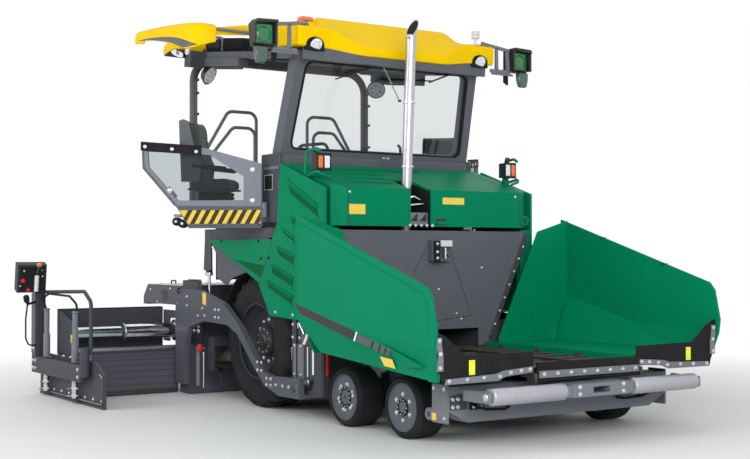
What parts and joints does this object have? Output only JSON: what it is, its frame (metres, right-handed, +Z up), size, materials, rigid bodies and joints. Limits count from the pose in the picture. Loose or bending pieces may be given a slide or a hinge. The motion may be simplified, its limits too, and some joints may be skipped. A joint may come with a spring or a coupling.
{
  "type": "asphalt paver",
  "caption": "Wheeled road paver with hopper, slat conveyor, augers, telescopic screed, open platform, swing-out seat consoles and roof.",
  "frame": {"origin": "on the ground, midway between the front rollers and the rear end of the screed, and midway between the sides", "axes": "+X in the direction of travel, towards the hopper; +Y to the machine's left; +Z up"},
  "size_m": [6.3799, 5.94, 4.0069],
  "materials": {
    "machine_grey": "satin",
    "dark_grey": "satin",
    "cab_grey": "satin",
    "body_green": "semi-gloss",
    "roof_yellow": "gloss",
    "panel_white": "satin",
    "engine_metal": "rough",
    "steel": "brushed",
    "chrome_tube": "polished",
    "black_rubber": "matte",
    "tyre_rubber": "matte",
    "black_plastic": "matte",
    "seat_cloth": "woven",
    "clear_glass": "clear"
  },
  "bodies": {
    "tractor": {"chassis": "machine_grey", "engine": "engine_metal", "conveyor": "dark_grey", "front_beam": "machine_grey", "hopper_wall": "machine_grey", "body_side_right": "body_green", "body_side_left": "body_green", "platform": "dark_grey", "control_desk": "black_plastic", "handrails": "cab_grey", "windshield_frame": "cab_grey", "windshield_glass": "clear_glass", "roof_frame": "cab_grey", "roof_panel": "panel_white", "roof_shells": "roof_yellow", "roof_lamps": "black_plastic", "exhaust": "steel"},
    "hood": {"hood": "body_green"},
    "rear_wheel_right": {"rear_wheel_right": "tyre_rubber"},
    "rear_wheel_left": {"rear_wheel_left": "tyre_rubber"},
    "knuckle_fore_right": {"knuckle_fore_right": "machine_grey"},
    "knuckle_fore_left": {"knuckle_fore_left": "machine_grey"},
    "knuckle_aft_right": {"knuckle_aft_right": "machine_grey"},
    "knuckle_aft_left": {"knuckle_aft_left": "machine_grey"},
    "front_wheel_fore_right": {"front_wheel_fore_right": "tyre_rubber"},
    "front_wheel_fore_left": {"front_wheel_fore_left": "tyre_rubber"},
    "front_wheel_aft_right": {"front_wheel_aft_right": "tyre_rubber"},
    "front_wheel_aft_left": {"front_wheel_aft_left": "tyre_rubber"},
    "wing_right": {"wing_right": "body_green", "apron_right": "black_rubber"},
    "wing_left": {"wing_left": "body_green", "apron_left": "black_rubber"},
    "front_flap": {"front_flap": "black_rubber"},
    "push_bar": {"push_bar": "machine_grey"},
    "push_roller_right": {"push_roller_right": "steel"},
    "push_roller_left": {"push_roller_left": "steel"},
    "auger_right": {"auger_right": "steel"},
    "auger_left": {"auger_left": "steel"},
    "screed": {"screed": "dark_grey"},
    "screed_extension_right": {"screed_extension_right": "dark_grey"},
    "screed_extension_left": {"screed_extension_left": "dark_grey"},
    "tube_stage_right": {"tube_stage_right": "chrome_tube"},
    "tube_stage_left": {"tube_stage_left": "chrome_tube"},
    "lift_barrels": {"lift_barrels": "body_green"},
    "lift_rods": {"lift_rods": "chrome_tube"},
    "console_right": {"console_right": "cab_grey", "seat_right": "seat_cloth"},
    "console_left": {"console_left": "cab_grey", "seat_left": "seat_cloth"}
  },
  "joints": [
    {"name": "hood_lift", "type": "hinge", "parent": "tractor", "child": "hood", "pos_m": [-0.096, 0, 2.46], "axis": [0, -1, 0], "range_deg": [0, 50]},
    {"name": "rear_wheel_right_spin", "type": "hinge", "parent": "tractor", "child": "rear_wheel_right", "pos_m": [-0.59, 0, 0.683], "axis": [0, 1, 0], "continuous": true},
    {"name": "rear_wheel_left_spin", "type": "hinge", "parent": "tractor", "child": "rear_wheel_left", "pos_m": [-0.59, 0, 0.683], "axis": [0, 1, 0], "continuous": true},
    {"name": "steer_fore_right", "type": "hinge", "parent": "tractor", "child": "knuckle_fore_right", "pos_m": [2.05, -0.86, 0.27], "axis": [0, 0, 1], "range_deg": [-20, 20]},
    {"name": "front_wheel_fore_right_spin", "type": "hinge", "parent": "knuckle_fore_right", "child": "front_wheel_fore_right", "pos_m": [2.05, -1.125, 0.27], "axis": [0, 1, 0], "continuous": true},
    {"name": "steer_fore_left", "type": "hinge", "parent": "tractor", "child": "knuckle_fore_left", "pos_m": [2.05, 0.86, 0.27], "axis": [0, 0, 1], "range_deg": [-20, 20]},
    {"name": "front_wheel_fore_left_spin", "type": "hinge", "parent": "knuckle_fore_left", "child": "front_wheel_fore_left", "pos_m": [2.05, 1.125, 0.27], "axis": [0, 1, 0], "continuous": true},
    {"name": "steer_aft_right", "type": "hinge", "parent": "tractor", "child": "knuckle_aft_right", "pos_m": [1.13, -0.86, 0.27], "axis": [0, 0, 1], "range_deg": [-14, 14]},
    {"name": "front_wheel_aft_right_spin", "type": "hinge", "parent": "knuckle_aft_right", "child": "front_wheel_aft_right", "pos_m": [1.13, -1.125, 0.27], "axis": [0, 1, 0], "continuous": true},
    {"name": "steer_aft_left", "type": "hinge", "parent": "tractor", "child": "knuckle_aft_left", "pos_m": [1.13, 0.86, 0.27], "axis": [0, 0, 1], "range_deg": [-14, 14]},
    {"name": "front_wheel_aft_left_spin", "type": "hinge", "parent": "knuckle_aft_left", "child": "front_wheel_aft_left", "pos_m": [1.13, 1.125, 0.27], "axis": [0, 1, 0], "continuous": true},
    {"name": "wing_fold_right", "type": "hinge", "parent": "tractor", "child": "wing_right", "pos_m": [1.71, -0.645, 0.655], "axis": [-1, 0, 0], "range_deg": [0, 50]},
    {"name": "wing_fold_left", "type": "hinge", "parent": "tractor", "child": "wing_left", "pos_m": [1.71, 0.645, 0.655], "axis": [1, 0, 0], "range_deg": [0, 50]},
    {"name": "front_flap_tilt", "type": "hinge", "parent": "tractor", "child": "front_flap", "pos_m": [3.013, 0, 0.54], "axis": [0, 1, 0], "range_deg": [0, 60]},
    {"name": "push_bar_swing", "type": "hinge", "parent": "tractor", "child": "push_bar", "pos_m": [2.83, 0, 0.45], "axis": [0, 0, 1], "range_deg": [-5, 5]},
    {"name": "push_roller_right_spin", "type": "hinge", "parent": "push_bar", "child": "push_roller_right", "pos_m": [3.12, -0.78, 0.45], "axis": [0, 1, 0], "continuous": true},
    {"name": "push_roller_left_spin", "type": "hinge", "parent": "push_bar", "child": "push_roller_left", "pos_m": [3.12, 0.78, 0.45], "axis": [0, 1, 0], "continuous": true},
    {"name": "auger_right_spin", "type": "hinge", "parent": "tractor", "child": "auger_right", "pos_m": [-1.69, -0.6, 0.35], "axis": [0, 1, 0], "continuous": true},
    {"name": "auger_left_spin", "type": "hinge", "parent": "tractor", "child": "auger_left", "pos_m": [-1.69, 0.6, 0.35], "axis": [0, 1, 0], "continuous": true},
    {"name": "screed_lift", "type": "hinge", "parent": "tractor", "child": "screed", "pos_m": [0.39, 0, 0.29], "axis": [0, 1, 0], "range_deg": [0, 8]},
    {"name": "extension_right_slide", "type": "slide", "parent": "screed", "child": "screed_extension_right", "axis": [0, 1, 0], "range_m": [0, 1.2]},
    {"name": "tube_right_slide", "type": "slide", "parent": "screed", "child": "tube_stage_right", "axis": [0, 1, 0], "range_m": [0, 0.6]},
    {"name": "extension_left_slide", "type": "slide", "parent": "screed", "child": "screed_extension_left", "axis": [0, -1, 0], "range_m": [0, 1.2]},
    {"name": "tube_left_slide", "type": "slide", "parent": "screed", "child": "tube_stage_left", "axis": [0, -1, 0], "range_m": [0, 0.6]},
    {"name": "lift_barrel_swing", "type": "hinge", "parent": "tractor", "child": "lift_barrels", "pos_m": [-1.76, 0, 1.7], "axis": [0, 1, 0], "range_deg": [-20, 1]},
    {"name": "lift_rod_slide", "type": "slide", "parent": "lift_barrels", "child": "lift_rods", "axis": [0.0298, 0, -0.9996], "range_m": [-0.27, 0]},
    {"name": "console_right_swing", "type": "hinge", "parent": "tractor", "child": "console_right", "pos_m": [-0.4, -1.262, 2], "axis": [0, 0, 1], "range_deg": [-46, 0]},
    {"name": "console_left_swing", "type": "hinge", "parent": "tractor", "child": "console_left", "pos_m": [-0.4, 1.262, 2], "axis": [0, 0, 1], "range_deg": [0, 46]}
  ],
  "couplings": [
    {"joint": "steer_fore_left", "follows": "steer_fore_right", "ratio": 1},
    {"joint": "steer_aft_right", "follows": "steer_fore_right", "ratio": 0.66},
    {"joint": "steer_aft_left", "follows": "steer_fore_right", "ratio": 0.66},
    {"joint": "tube_right_slide", "follows": "extension_right_slide", "ratio": 0.5},
    {"joint": "tube_left_slide", "follows": "extension_left_slide", "ratio": 0.5},
    {"joint": "lift_barrel_swing", "follows": "screed_lift", "ratio": -2.371},
    {"joint": "lift_rod_slide", "follows": "screed_lift", "m_per_rad": -1.886}
  ]
}
